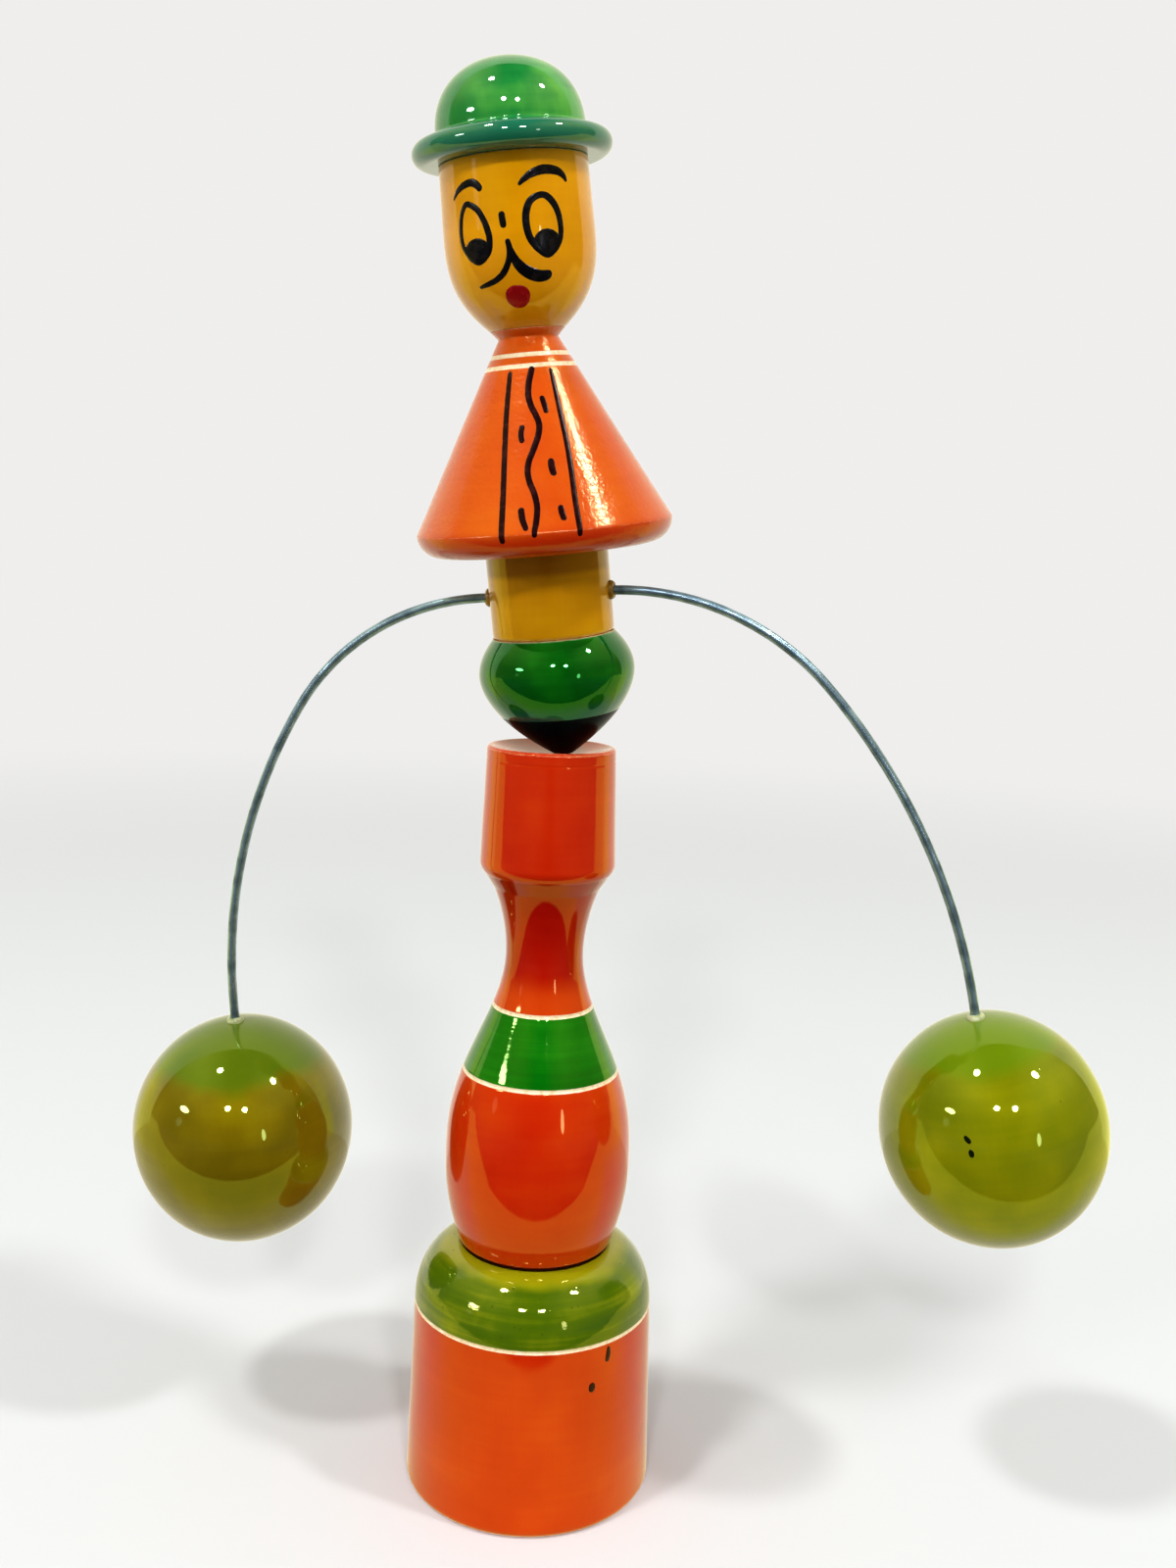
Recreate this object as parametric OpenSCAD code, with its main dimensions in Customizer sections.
// Balancing doll: a turned and lacquered wooden figure with two counterweight balls on bent wire arms.
// It stands on its point in the dish of a turned stand, and rocks and spins there.
// Millimetres, +Z up, origin at the middle of the stand's underside, -Y towards the viewer.

/* [Stand base] */
// Diameter of the drum at its foot
base_d = 55; // [48:0.5:62]
// Diameter of the drum at its scored line
base_line_d = 53; // [46:0.5:60]
// Height of the scored line above the floor
base_line_h = 42; // [36:0.5:48]
// Height of the whole base
base_h = 55.4; // [51:0.2:60]
// Rounding of the drum's bottom edge
base_edge_r = 1.6; // [0.8:0.2:3]

/* [Stand column] */
// Diameter where the column sits on the base
column_foot_d = 33.4; // [30:0.2:36]
// Largest diameter of the egg-shaped belly
belly_d = 41; // [38:0.5:44]
// Height of the belly's widest place above the base
belly_rise = 19.6; // [16:0.2:24]
// How full the belly stays on its way up to the neck
belly_fullness = 1.25; // [1:0.05:1.5]
// Smallest diameter of the neck
neck_d = 17; // [14:0.2:20]
// Height of the neck above the base
neck_rise = 66.2; // [58:0.2:74]
// Diameter under the cup, where the neck ends
shoulder_d = 23; // [21:0.2:25]
// Height of the cup's underside, where the neck ends
shoulder_rise = 80.7; // [78:0.1:84]
// Largest diameter of the cup, just above its lower edge
cup_d = 29.4; // [28:0.2:32]
// Rounding of the cup's lower edge
cup_edge_r = 3.6; // [2:0.2:4.4]
// Angle through which that edge is rounded
cup_edge_turn = 60; // [40:1:70]
// Height of the cup's widest place above the base
cup_rise = 86.5; // [85:0.1:92]
// Diameter of the cup at its rim
rim_d = 27.7; // [26:0.2:29]
// Height of the whole column
column_h = 111.6; // [100:0.2:124]
// Bevel on the rim's outer edge
rim_bevel = 0.5; // [0.2:0.1:1]
// Diameter of the dish in the cup's top
dish_d = 25.2; // [20:0.2:25.6]
// Depth of the dish
dish_depth = 2.5; // [1.6:0.1:3.5]
// Diameter of the lathe centre hole in the dish
dimple_d = 2.4; // [1.6:0.1:3]
// Depth of the lathe centre hole below the dish
dimple_depth = 2; // [1:0.2:4]
// Height of the lower scored line above the base
low_line_rise = 40.2; // [34:0.2:46]
// Height of the upper scored line above the base
high_line_rise = 54.6; // [49:0.2:60]
// Height of the faint scored line at the column's foot
foot_line_rise = 1.5; // [1:0.1:3]

/* [Figure's point and foot] */
// Diameter of the steel ball that the figure stands on
point_ball_d = 3; // [2.4:0.1:3.6]
// Diameter of the steel pin that holds the ball
pin_d = 2.4; // [2:0.1:2.8]
// Length of the pin above the ball's centre
pin_l = 11; // [8:0.5:13]
// Diameter of the foot's blunt end
foot_tip_d = 4; // [3.8:0.1:4.6]
// Height of the blunt end above the point
foot_tip_h = 0.9; // [0.7:0.05:1.2]
// Largest diameter of the foot
foot_d = 33.1; // [30:0.2:36]
// Height of the foot's widest place above the point
foot_wide_h = 18.6; // [16:0.2:21]
// How full the foot's flank is, from a straight cone at 1
foot_fullness = 1.85; // [1.5:0.05:2.2]
// Height of the foot's top above the point
foot_h = 26.6; // [24:0.2:30]

/* [Figure's body] */
// Diameter of the waist
waist_d = 25.7; // [22:0.2:29]
// Height of the waist
waist_h = 17.8; // [15:0.2:21]
// Rounding of the waist's lower edge
waist_edge_r = 0.8; // [0.4:0.1:1.4]
// Largest diameter of the coat
coat_d = 53; // [48:0.5:58]
// Rounding of the coat's hem
coat_hem_r = 4.8; // [3:0.2:6]
// Height of the coat
coat_h = 43.8; // [38:0.2:50]
// Diameter of the coat's neck, at its narrowest
coat_neck_d = 12.2; // [11:0.1:13.6]
// Diameter of the collar's flare, under the chin
collar_d = 15.2; // [14:0.1:17]
// Height of the collar's flare above the neck
collar_h = 1.6; // [1:0.1:2.4]
// Depth of the coat's upper scored line below its neck
coat_line_1 = 3.5; // [2.4:0.1:4.4]
// Depth of the coat's lower scored line below its neck
coat_line_2 = 5.7; // [5:0.1:7.6]
// Diameter of the head
head_d = 30.4; // [27:0.2:33]
// Diameter of the head's top, under the hat
head_top_d = 29.6; // [26:0.2:32]
// Height of the whole head
head_h = 31.7; // [28:0.1:36]
// Height of the head's widest place above the coat
head_wide_h = 18; // [15:0.2:22]
// How full the jaw is, from a straight cone at 1
jaw_fullness = 2.75; // [2:0.05:3.2]
// Largest diameter of the hat's brim
brim_d = 39.8; // [36:0.2:44]
// Thickness of the brim's rounded edge
brim_edge = 4.8; // [4:0.1:5.6]
// Angle above level at which that rounding ends
brim_turn = 75; // [60:1:85]
// Diameter of the hat's dome
dome_d = 29.8; // [26:0.2:32]
// Height of the dome's foot above the brim's underside
dome_foot_h = 5.7; // [5.6:0.1:7]
// Height of the dome above its foot
dome_h = 13.6; // [10:0.2:16]
// Roundness of the dome, an ellipse at 2
dome_power = 2.2; // [1.8:0.05:2.6]

/* [Arms and balls] */
// Diameter of the arm wire
wire_d = 2; // [1.6:0.1:2.6]
// How much the drawn wire thickens where a bend has worked it
bend_swell = 0.02; // [0.02:0.01:0.06]
// Height of the arms above the waist's foot
arm_h = 8.4; // [6:0.2:11]
// Depth of the wire's hole in the waist
arm_hole_depth = 8; // [5:0.2:8.6]
// Straight wire outside the waist
arm_stub = 1.2; // [0.8:0.1:4]
// Sweep of both arms towards the doll's front
arm_sweep = 2.1; // [-6:0.1:8]
// Rise of the left arm where it leaves the waist
left_rise = 2; // [-6:0.5:6]
// Bend radius of the left arm's shoulder
left_bend_1_r = 51.6; // [44:0.2:60]
// Bend angle of the left arm's shoulder
left_bend_1 = 55.1; // [48:0.1:62]
// Bend radius of the left forearm
left_bend_2_r = 123.5; // [100:0.5:150]
// Bend angle of the left forearm
left_bend_2 = 33.6; // [26:0.1:38]
// Distance from the left forearm's end to its ball's centre
left_tail = 31.9; // [30:0.1:38]
// Diameter of the left ball
left_ball_d = 50.3; // [46:0.05:54]
// Rise of the right arm where it leaves the waist
right_rise = -2.5; // [-6:0.5:6]
// Bend radius of the right arm's shoulder
right_bend_1_r = 56.4; // [48:0.2:64]
// Bend angle of the right arm's shoulder
right_bend_1 = 50.9; // [44:0.1:58]
// Bend radius of the right forearm
right_bend_2_r = 141.4; // [120:0.2:160]
// Bend angle of the right forearm
right_bend_2 = 30.1; // [24:0.1:36]
// Distance from the right forearm's end to its ball's centre
right_tail = 28.8; // [28:0.1:36]
// Diameter of the right ball
right_ball_d = 48.15; // [44:0.05:52]
// How much taller than wide each ball is
ball_tall = 1.05; // [1.01:0.01:1.1]
// Depth of the wire's hole in each ball
ball_hole_depth = 16; // [10:0.5:20]
// Diameter of the glue bead round each wire
bead_d = 4.2; // [3.4:0.1:5]
// Height of the glue bead along the wire
bead_h = 1.1; // [0.6:0.1:1.6]

/* [Joints inside] */
// Diameter of the stand's dowel
stand_dowel_d = 10; // [8:0.5:12]
// Length of the stand's dowel
stand_dowel_l = 32; // [24:1:40]
// Diameter of the figure's dowels
dowel_d = 6; // [5:0.1:6.6]
// Length of the figure's dowels
dowel_l = 13; // [10:0.5:14]
// Free space at each end of a dowel
dowel_end_gap = 0.8; // [0.4:0.1:1]
// Clearance all round a dowel, wire or pin in its hole
fit_gap = 0.05; // [0.02:0.01:0.08]
// Gap between the point's ball and the dish
point_gap = 0.04; // [0.02:0.01:0.1]

/* [Scored lines] */
// Width of a scored line
line_w = 0.8; // [0.5:0.1:1.2]
// Depth of a scored line
line_depth = 0.25; // [0.15:0.05:0.4]

/* [Pose at rest] */
// Lean of the figure to its viewer's left
lean_left = 6.9; // [0:0.1:10]
// Lean of the figure towards its viewer
lean_front = 4.1; // [0:0.1:8]
// Turn of the figure about its own axis
figure_turn = -11; // [-45:1:45]
// Place of the point in the dish, right of its middle
point_off = 2.6; // [0:0.1:4]

/* [Hidden] */
$fn = 96;

// Lacquer, wood and metal colours
orange = "#d9480f";
olive = "#7d8a12";
green = "#1f7a34";
amber = "#d8970f";
cream = "#f3dca0";
steel = "#8b959d";
bare_wood = "#cda56e";
glue = "#c9b27a";

// Steps in a curved stretch of a turned outline
curve_steps = 12;
// Power of a plain rounded curve
plain = 2;
// Steps from the widest place of a ball to its end
ball_steps = 14;
// A length past any surface that a cut has to reach
past = 1;
// Facets round a wire
wire_facets = 24;
// How far each stretch of wire runs on inside the thicker one beside it
wire_lap = 0.5;

// Stand: heights above the floor
column_z = base_h;
belly_z = column_z + belly_rise;
neck_z = column_z + neck_rise;
shoulder_z = column_z + shoulder_rise;
cup_z = column_z + cup_rise;
rim_z = column_z + column_h;
// The dish is part of a sphere through its edge and its lowest place
dish_r = (pow(dish_d / 2, 2) + pow(dish_depth, 2)) / (2 * dish_depth);
dish_centre_z = rim_z - dish_depth + dish_r;

// Pivot: the ball touches the dish beside its middle
ball_r = point_ball_d / 2;
pivot_reach = dish_r - ball_r - point_gap;
pivot = [point_off, 0, dish_centre_z - sqrt(pow(pivot_reach, 2) - pow(point_off, 2))];

// Figure: heights above its point
waist_s = foot_h;
coat_s = waist_s + waist_h;
head_s = coat_s + coat_h;
hat_s = head_s + head_h;
arm_s = waist_s + arm_h;

// Arms: [rise, shoulder radius, shoulder angle, forearm radius, forearm angle, tail, ball diameter]
left_shape =
    [left_rise, left_bend_1_r, left_bend_1, left_bend_2_r, left_bend_2, left_tail, left_ball_d];
right_shape =
    [right_rise, right_bend_1_r, right_bend_1, right_bend_2_r, right_bend_2, right_tail, right_ball_d];
left_azimuth = 180 + arm_sweep;
right_azimuth = -arm_sweep;

// Outline points from a place with an upright tangent to another place, as a power curve
function bow(from, to, power) =
    [for (i = [0 : curve_steps])
        let (t = i / curve_steps)
        from + [(to.x - from.x) * pow(t, power), (to.y - from.y) * t]];

// Outline points between two places with an upright tangent at both, as half a wave
function wave(from, to, fullness) =
    [for (i = [0 : curve_steps])
        let (t = i / curve_steps, share = (1 - cos(180 * pow(t, fullness))) / 2)
        from + [(to.x - from.x) * share, (to.y - from.y) * t]];

// Points along an arc of a circle
function arc(centre, r, from, to) =
    [for (i = [0 : curve_steps])
        let (a = from + (to - from) * i / curve_steps)
        centre + r * [cos(a), sin(a)]];

// The same points from the other end
function reverse(points) = [for (i = [len(points) - 1 : -1 : 0]) points[i]];

// Radius of the column between its belly and its neck
function belly_radius(z) =
    let (t = (z - belly_z) / (neck_z - belly_z), share = (1 - cos(180 * pow(t, belly_fullness))) / 2)
    (belly_d + (neck_d - belly_d) * share) / 2;

// Angle above level at which the column's surface faces there
function belly_slope(z) = atan((belly_radius(z - line_w / 2) - belly_radius(z + line_w / 2)) / line_w);

// Places along an arm, in the plane of the figure's axis: distance from the axis, height above the point
function heading(angle) = [cos(angle), sin(angle)];
function arm_start(shape) = [waist_d / 2, arm_s] + arm_stub * heading(shape[0]);
function bend_1_centre(shape) = arm_start(shape) - shape[1] * heading(90 + shape[0]);
function bend_1_end(shape) = bend_1_centre(shape) + shape[1] * heading(90 + shape[0] - shape[2]);
function tail_angle(shape) = shape[0] - shape[2] - shape[4];
function bend_2_centre(shape) = bend_1_end(shape) - shape[3] * heading(90 + shape[0] - shape[2]);
function bend_2_end(shape) = bend_2_centre(shape) + shape[3] * heading(90 + tail_angle(shape));
function ball_centre(shape) = bend_2_end(shape) + shape[5] * heading(tail_angle(shape));
function ball_half_height(shape) = ball_tall * shape[6] / 2;

module turned(outline) {
    rotate_extrude() polygon(outline);
}

// A shallow groove cut square to the surface at a given radius and height
module scored_line(r, z, slope = 0) {
    color(cream)
        rotate_extrude()
            translate([r, z])
                rotate(slope)
                    square([2 * line_depth, line_w], center = true);
}

// A dowel centred on the joint between two pieces, and the hole for it
module dowel(d, l, z) {
    color(bare_wood)
        translate([0, 0, z - l / 2])
            cylinder(d = d, h = l);
}

module dowel_hole(d, l, z) {
    dowel(d + 2 * fit_gap, l + 2 * dowel_end_gap, z);
}

// Places its children, which are modelled upright above the point, in the figure's pose at rest
module in_figure() {
    translate(pivot)
        rotate([0, -lean_left, 0])
            rotate([lean_front, 0, 0])
                rotate([0, 0, figure_turn])
                    translate([0, 0, -ball_r])
                        children();
}

// Base: orange drum below the scored line, olive shoulder above it
module base() {
    base_r = base_d / 2;
    line_r = base_line_d / 2;
    foot_r = column_foot_d / 2;
    shoulder_h = base_h - base_line_h;
    drum = concat(
        [[0, 0]],
        arc([base_r - base_edge_r, base_edge_r], base_edge_r, -90, 0),
        [[line_r, base_line_h], [0, base_line_h]]);
    // Quarter of an ellipse from the line up to the column's foot
    shoulder = concat(
        [[0, base_line_h]],
        [for (i = [0 : curve_steps])
            let (a = 90 * i / curve_steps)
            [foot_r + (line_r - foot_r) * cos(a), base_line_h + shoulder_h * sin(a)]],
        [[0, base_h]]);
    difference() {
        union() {
            color(orange) turned(drum);
            color(olive) turned(shoulder);
        }
        scored_line(line_r, base_line_h);
        dowel_hole(stand_dowel_d, stand_dowel_l, column_z);
    }
}

// Column: orange belly, green band between two scored lines, orange neck and cup with a dish in its top
module column() {
    low_z = column_z + low_line_rise;
    high_z = column_z + high_line_rise;
    foot_line_z = column_z + foot_line_rise;
    belly_r = belly_d / 2;
    cup_r = cup_d / 2;
    outline = concat(
        [[0, column_z]],
        reverse(bow([belly_r, belly_z], [column_foot_d / 2, column_z], plain)),
        wave([belly_r, belly_z], [neck_d / 2, neck_z], belly_fullness),
        bow([neck_d / 2, neck_z], [shoulder_d / 2, shoulder_z], plain),
        arc([cup_r - cup_edge_r, cup_z], cup_edge_r, -cup_edge_turn, 0),
        [[rim_d / 2, rim_z - rim_bevel], [rim_d / 2 - rim_bevel, rim_z], [0, rim_z]]);
    foot_line_r = belly_r - (belly_d - column_foot_d) / 2 * pow((belly_z - foot_line_z) / belly_rise, plain);
    difference() {
        color(orange) turned(outline);
        color(orange) translate([0, 0, dish_centre_z]) sphere(r = dish_r);
        color(bare_wood)
            translate([0, 0, rim_z - dish_depth - dimple_depth])
                cylinder(d = dimple_d, h = dish_depth + dimple_depth + past);
        scored_line(belly_radius(low_z), low_z, belly_slope(low_z));
        scored_line(belly_radius(high_z), high_z, belly_slope(high_z));
        scored_line(foot_line_r, foot_line_z);
        dowel_hole(stand_dowel_d, stand_dowel_l, column_z);
    }
}

module stand_dowel() {
    dowel(stand_dowel_d, stand_dowel_l, column_z);
}

// Steel ball that the figure stands on
module pivot_ball() {
    color(steel) in_figure() translate([0, 0, ball_r]) sphere(d = point_ball_d);
}

// Steel pin with a hollow end that seats on the ball
module pivot_pin() {
    color(steel)
        in_figure()
            difference() {
                translate([0, 0, ball_r]) cylinder(d = pin_d, h = pin_l);
                translate([0, 0, ball_r]) sphere(r = ball_r + fit_gap);
            }
}

// Foot: pointed turnip with a socket for the ball and a bore for the pin
module foot() {
    wide = [foot_d / 2, foot_wide_h];
    outline = concat(
        [[0, foot_tip_h]],
        reverse(bow(wide, [foot_tip_d / 2, foot_tip_h], foot_fullness)),
        bow(wide, [waist_d / 2, foot_h], plain),
        [[0, foot_h]]);
    in_figure()
        difference() {
            color(green) turned(outline);
            translate([0, 0, ball_r]) sphere(r = ball_r + fit_gap);
            translate([0, 0, ball_r]) cylinder(d = pin_d + 2 * fit_gap, h = pin_l + dowel_end_gap);
            dowel_hole(dowel_d, dowel_l, waist_s);
        }
}

module foot_dowel() {
    in_figure() dowel(dowel_d, dowel_l, waist_s);
}

// Places its children in the plane of an arm: x outwards from the axis, y up the axis
module in_arm_plane(azimuth) {
    rotate([0, 0, azimuth]) rotate([90, 0, 0]) children();
}

// Round bar from a place, along a heading
module bar(place, angle, d, l) {
    translate(place) rotate([0, 0, angle]) rotate([0, 90, 0]) cylinder(d = d, h = l, $fn = wire_facets);
}

// Straight end of an arm's wire, from the bottom of its hole in the waist, and the hole for it
module arm_root(shape, d, deeper = 0) {
    inside = arm_hole_depth + arm_stub + deeper;
    bar(arm_start(shape) - inside * heading(shape[0]), shape[0], d, inside + wire_lap);
}

// Waist: yellow cylinder with a hole for each arm
module waist() {
    waist_r = waist_d / 2;
    outline = concat(
        [[0, waist_s]],
        arc([waist_r - waist_edge_r, waist_s + waist_edge_r], waist_edge_r, -90, 0),
        [[waist_r, coat_s], [0, coat_s]]);
    in_figure()
        difference() {
            color(amber) turned(outline);
            dowel_hole(dowel_d, dowel_l, waist_s);
            dowel_hole(dowel_d, dowel_l, coat_s);
            in_arm_plane(left_azimuth) arm_root(left_shape, wire_d + 2 * fit_gap, fit_gap);
            in_arm_plane(right_azimuth) arm_root(right_shape, wire_d + 2 * fit_gap, fit_gap);
        }
}

module waist_dowel() {
    in_figure() dowel(dowel_d, dowel_l, coat_s);
}

// Coat: cone with a rounded hem, drawn in at the neck under a flared collar
module coat() {
    coat_r = coat_d / 2;
    neck_r = coat_neck_d / 2;
    hem_s = coat_s + coat_hem_r;
    neck_s = head_s - collar_h;
    cone_slope = (coat_r - neck_r) / (neck_s - hem_s);
    cone_angle = atan(cone_slope);
    outline = concat(
        [[0, coat_s]],
        arc([coat_r - coat_hem_r, hem_s], coat_hem_r, -90, 0),
        [[neck_r, neck_s], [collar_d / 2, head_s], [0, head_s]]);
    in_figure()
        difference() {
            color(orange) turned(outline);
            for (below = [coat_line_1, coat_line_2])
                scored_line(neck_r + below * cone_slope, neck_s - below, cone_angle);
            dowel_hole(dowel_d, dowel_l, coat_s);
            dowel_hole(dowel_d, dowel_l, head_s);
        }
}

module neck_dowel() {
    in_figure() dowel(dowel_d, dowel_l, head_s);
}

// Head: cup-shaped jaw on the coat's collar, straight above
module head() {
    outline = concat(
        [[0, head_s]],
        reverse(bow([head_d / 2, head_s + head_wide_h], [collar_d / 2, head_s], jaw_fullness)),
        [[head_top_d / 2, hat_s], [0, hat_s]]);
    in_figure()
        difference() {
            color(amber) turned(outline);
            dowel_hole(dowel_d, dowel_l, head_s);
            dowel_hole(dowel_d, dowel_l, hat_s);
        }
}

module hat_dowel() {
    in_figure() dowel(dowel_d, dowel_l, hat_s);
}

// Hat: bowler with a thick rounded brim
module hat() {
    edge_r = brim_edge / 2;
    dome_foot_s = hat_s + dome_foot_h;
    outline = concat(
        [[0, hat_s]],
        arc([brim_d / 2 - edge_r, hat_s + edge_r], edge_r, -90, brim_turn),
        [for (i = [0 : curve_steps])
            let (a = 90 * i / curve_steps)
            [dome_d / 2 * pow(cos(a), 2 / dome_power), dome_foot_s + dome_h * pow(sin(a), 2 / dome_power)]]);
    in_figure()
        difference() {
            color(green) turned(outline);
            dowel_hole(dowel_d, dowel_l, hat_s);
        }
}

// Arm: steel wire with a shoulder bend and a slacker forearm bend, set straight into its ball
module arm(shape) {
    tail_l = shape[5] - ball_half_height(shape) + ball_hole_depth;
    lap_angle = wire_lap / shape[3] * 180 / PI;
    arm_root(shape, wire_d);
    bend(bend_1_centre(shape), shape[1], wire_d + 2 * bend_swell, 90 + shape[0] - shape[2], shape[2]);
    bend(bend_2_centre(shape), shape[3], wire_d + bend_swell, 90 + tail_angle(shape), shape[4] + lap_angle);
    tail_from = bend_2_end(shape) - wire_lap * heading(tail_angle(shape));
    bar(tail_from, tail_angle(shape), wire_d, tail_l + wire_lap);
}

// Wire bent round a centre
module bend(centre, r, d, from, sweep) {
    translate(centre)
        rotate_extrude(angle = sweep, start = from)
            translate([r, 0])
                circle(d = d, $fn = wire_facets);
}

module left_arm() {
    color(steel) in_figure() in_arm_plane(left_azimuth) arm(left_shape);
}

module right_arm() {
    color(steel) in_figure() in_arm_plane(right_azimuth) arm(right_shape);
}

// Places its children, which have +Z along the wire out of the ball, at an arm's ball
module at_ball(shape) {
    translate(ball_centre(shape)) rotate([0, 0, tail_angle(shape)]) rotate([0, -90, 0]) children();
}

// Ball: half an ellipse, a little taller than wide, turned about the wire
module ball_solid(shape) {
    half_w = shape[6] / 2;
    half_h = ball_half_height(shape);
    turned([for (i = [-ball_steps : ball_steps])
        let (a = 90 * i / ball_steps)
        [half_w * cos(a), half_h * sin(a)]]);
}

module ball(shape) {
    half_h = ball_half_height(shape);
    at_ball(shape)
        difference() {
            ball_solid(shape);
            translate([0, 0, half_h - ball_hole_depth - fit_gap])
                cylinder(d = wire_d + 2 * fit_gap, h = ball_hole_depth + fit_gap + past);
        }
}

module left_ball() {
    color(olive) in_figure() in_arm_plane(left_azimuth) ball(left_shape);
}

module right_ball() {
    color(olive) in_figure() in_arm_plane(right_azimuth) ball(right_shape);
}

// Glue bead: a rounded ring round a wire, reaching below the surface that it sits on
module bead() {
    hole_r = wire_d / 2 + fit_gap;
    wide = bead_d / 2 - hole_r;
    rounded = [for (i = [0 : curve_steps])
        let (a = 90 * i / curve_steps)
        [hole_r + wide * cos(a), bead_h * sin(a)]];
    rotate_extrude($fn = wire_facets)
        polygon(concat([[hole_r, -bead_h], [hole_r + wide, -bead_h]], rounded));
}

// Beads where an arm leaves the waist and where it enters its ball
module arm_beads(shape) {
    difference() {
        translate([waist_d / 2, arm_s])
            rotate([0, 0, shape[0]])
                rotate([0, 90, 0])
                    bead();
        rotate([-90, 0, 0]) cylinder(d = waist_d, h = coat_s);
    }
    at_ball(shape)
        difference() {
            translate([0, 0, ball_half_height(shape)]) bead();
            ball_solid(shape);
        }
}

module glue_beads() {
    color(glue) in_figure() in_arm_plane(left_azimuth) arm_beads(left_shape);
    color(glue) in_figure() in_arm_plane(right_azimuth) arm_beads(right_shape);
}

base();
column();
stand_dowel();
pivot_ball();
pivot_pin();
foot();
foot_dowel();
waist();
waist_dowel();
coat();
neck_dowel();
head();
hat_dowel();
hat();
left_arm();
right_arm();
left_ball();
right_ball();
glue_beads();
